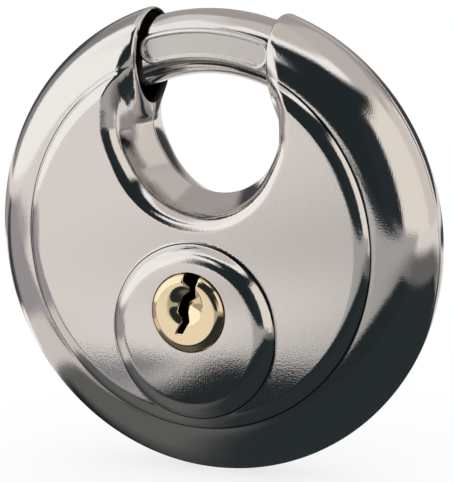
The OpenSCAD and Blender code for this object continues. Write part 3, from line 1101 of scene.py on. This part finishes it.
def add_stage_mesh(name, points, colors):
    """A stage card over a grid of points, with one light colour for each, seen only in reflections."""
    rows, columns, _ = points.shape
    mesh = bpy.data.meshes.new(name)
    mesh.from_pydata(points.reshape(-1, 3).tolist(), [], grid_faces(rows, columns).tolist())
    layer = mesh.color_attributes.new("light", "FLOAT_COLOR", "POINT")
    opaque = np.ones((rows, columns, 1))
    layer.data.foreach_set("color", np.concatenate([colors, opaque], -1).ravel())
    mesh.materials.append(card_material(name))
    card = bpy.data.objects.new(name, mesh)
    bpy.context.collection.objects.link(card)
    card.visible_camera = False
    card.visible_diffuse = False
    card.visible_shadow = False


def grid_faces(rows, columns):
    at = np.arange(rows * columns).reshape(rows, columns)
    return np.stack([at[:-1, :-1], at[:-1, 1:], at[1:, 1:], at[1:, :-1]], -1).reshape(-1, 4)


def window(value, low, high, soft):
    """1 between two limits, with soft edges."""
    rise = smooth_step(low - soft / 2, low + soft / 2, value)
    return rise * (1 - smooth_step(high - soft / 2, high + soft / 2, value))


def ribbon(x, y, line, soft):
    """1 inside a band along a line of points with their half widths, with soft edges."""
    gap = np.full(x.shape, np.inf)
    for (ax, ay, aw), (bx, by, bw) in zip(line, line[1:]):
        ex, ey = bx - ax, by - ay
        t = np.clip(((x - ax) * ex + (y - ay) * ey) / (ex * ex + ey * ey), 0, 1)
        gap = np.minimum(gap, np.hypot(x - ax - t * ex, y - ay - t * ey) - aw - t * (bw - aw))
    return 1 - smooth_step(-soft / 2, soft / 2, gap)


def lay(light, share, color):
    """Lays a card's colour over the light behind it."""
    share = share[..., None]
    return light * (1 - share) + np.array(color) * share


def tent_light(azimuth, elevation):
    light = np.ones(azimuth.shape + (3,)) * TENT_BASE
    for _, (left, right), (low, high), rise, soft, color in TENT_CARDS:
        level = elevation - rise * (azimuth - left)
        light = lay(light, window(azimuth, left, right, soft) * window(level, low, high, soft), color)
    for line in (FLAG_LINE, FLAG_TAIL):
        light = lay(light, ribbon(azimuth, elevation, line, FLAG_SOFT), FLAG_COLOR)
    return light


def table_light(x, y):
    light = np.ones(x.shape + (3,)) * TABLE_BASE
    for _, (left, right), (near, far), soft, color in TABLE_CARDS:
        light = lay(light, window(x, left, right, soft) * window(y, near, far, soft), color)
    return light


def build_tent():
    turns = np.arange(-180, 181, TENT_STEP)
    heights = np.arange(TENT_LOW, 91, TENT_STEP)
    azimuth, elevation = np.meshgrid(turns, heights)
    a = np.radians(azimuth)
    e = np.radians(elevation)
    outward = np.stack([np.sin(a) * np.cos(e), -np.cos(a) * np.cos(e), np.sin(e)], -1)
    middle = np.array([0, 0, DISC_Z * MM])
    add_stage_mesh("tent", outward * TENT_RADIUS + middle, tent_light(azimuth, elevation))


def build_table_card(floor_z):
    near = np.arange(0, TABLE_NEAR, TABLE_NEAR_STEP)
    far = np.arange(TABLE_NEAR, TABLE_HALF, TABLE_FAR_STEP)
    half = np.concatenate([near, far])
    across = np.concatenate([-half[:0:-1], half])
    x, y = np.meshgrid(across, across)
    points = np.stack([x, y, np.full_like(x, floor_z + TABLE_LIFT)], -1)
    add_stage_mesh("table_card", points, table_light(x / MM, y / MM))


def floor_material():
    """Pale paper that keeps a soft shadow; part of its white comes without lighting the lock."""
    material = new_material("floor", FLOOR_COLOR, 0.0, FLOOR_ROUGH)
    shader = shader_of(material)
    shader.inputs["Specular IOR Level"].default_value = 0.0
    shader.inputs["Emission Color"].default_value = FLOOR_GLOW
    rays = add_node(material, "ShaderNodeLightPath").outputs
    seen = node_math(material, "MAXIMUM", rays["Is Camera Ray"], rays["Is Glossy Ray"])
    seen = node_math(material, "MAXIMUM", seen, rays["Is Transmission Ray"])
    link(material, seen, shader.inputs["Emission Strength"])
    return material


def build_floor(floor_z):
    corners = [(-1, -1), (1, -1), (1, 1), (-1, 1)]
    mesh = bpy.data.meshes.new("floor")
    mesh.from_pydata([(x * FLOOR_HALF, y * FLOOR_HALF, floor_z) for x, y in corners], [], [(0, 1, 2, 3)])
    mesh.materials.append(floor_material())
    floor = bpy.data.objects.new("floor", mesh)
    bpy.context.collection.objects.link(floor)


def build_world():
    world = bpy.data.worlds.new("studio")
    world.use_nodes = True
    background = world.node_tree.nodes["Background"]
    background.inputs["Color"].default_value = WORLD_COLOR
    background.inputs["Strength"].default_value = WORLD_STRENGTH
    bpy.context.scene.world = world


# Camera, fitted to the outlines of the disc, groove and boss in the photograph

IMAGE_W = 453
IMAGE_H = 482
SENSOR = 36.0
CLIP_END = 100
CAMERA_AZIMUTH = math.radians(25.95)
CAMERA_ELEVATION = math.radians(10.6)
CAMERA_ROLL = math.radians(-0.55)
CAMERA_DISTANCE = 0.6004
FOCAL_PIXELS = 4085.95
DISC_PIXEL = (220.04, 234.39)


def camera_axes():
    """Right, up and back of the camera."""
    ca, sa = math.cos(CAMERA_AZIMUTH), math.sin(CAMERA_AZIMUTH)
    ce, se = math.cos(CAMERA_ELEVATION), math.sin(CAMERA_ELEVATION)
    back = Vector((sa * ce, -ca * ce, se))
    level = Vector((ca, sa, 0))
    upright = back.cross(level)
    right = math.cos(CAMERA_ROLL) * level + math.sin(CAMERA_ROLL) * upright
    return right, back.cross(right), back


def build_camera():
    data = bpy.data.cameras.new("camera")
    data.sensor_width = SENSOR
    data.lens = FOCAL_PIXELS * SENSOR / IMAGE_H
    data.shift_x = (IMAGE_W / 2 - DISC_PIXEL[0]) / IMAGE_H
    data.shift_y = (DISC_PIXEL[1] - IMAGE_H / 2) / IMAGE_H
    data.clip_end = CLIP_END
    camera = bpy.data.objects.new("camera", data)
    right, up, back = camera_axes()
    place = Vector((0, 0, DISC_Z * MM)) + back * CAMERA_DISTANCE
    camera.matrix_world = Matrix.Translation(place) @ Matrix((right, up, back)).transposed().to_4x4()
    bpy.context.collection.objects.link(camera)
    bpy.context.scene.camera = camera


def main():
    build_lock()
    floor_z = cad_bounds[0][2]
    build_floor(floor_z)
    build_table_card(floor_z)
    build_tent()
    build_world()
    build_camera()
    bpy.context.scene.view_settings.view_transform = "Standard"


main()
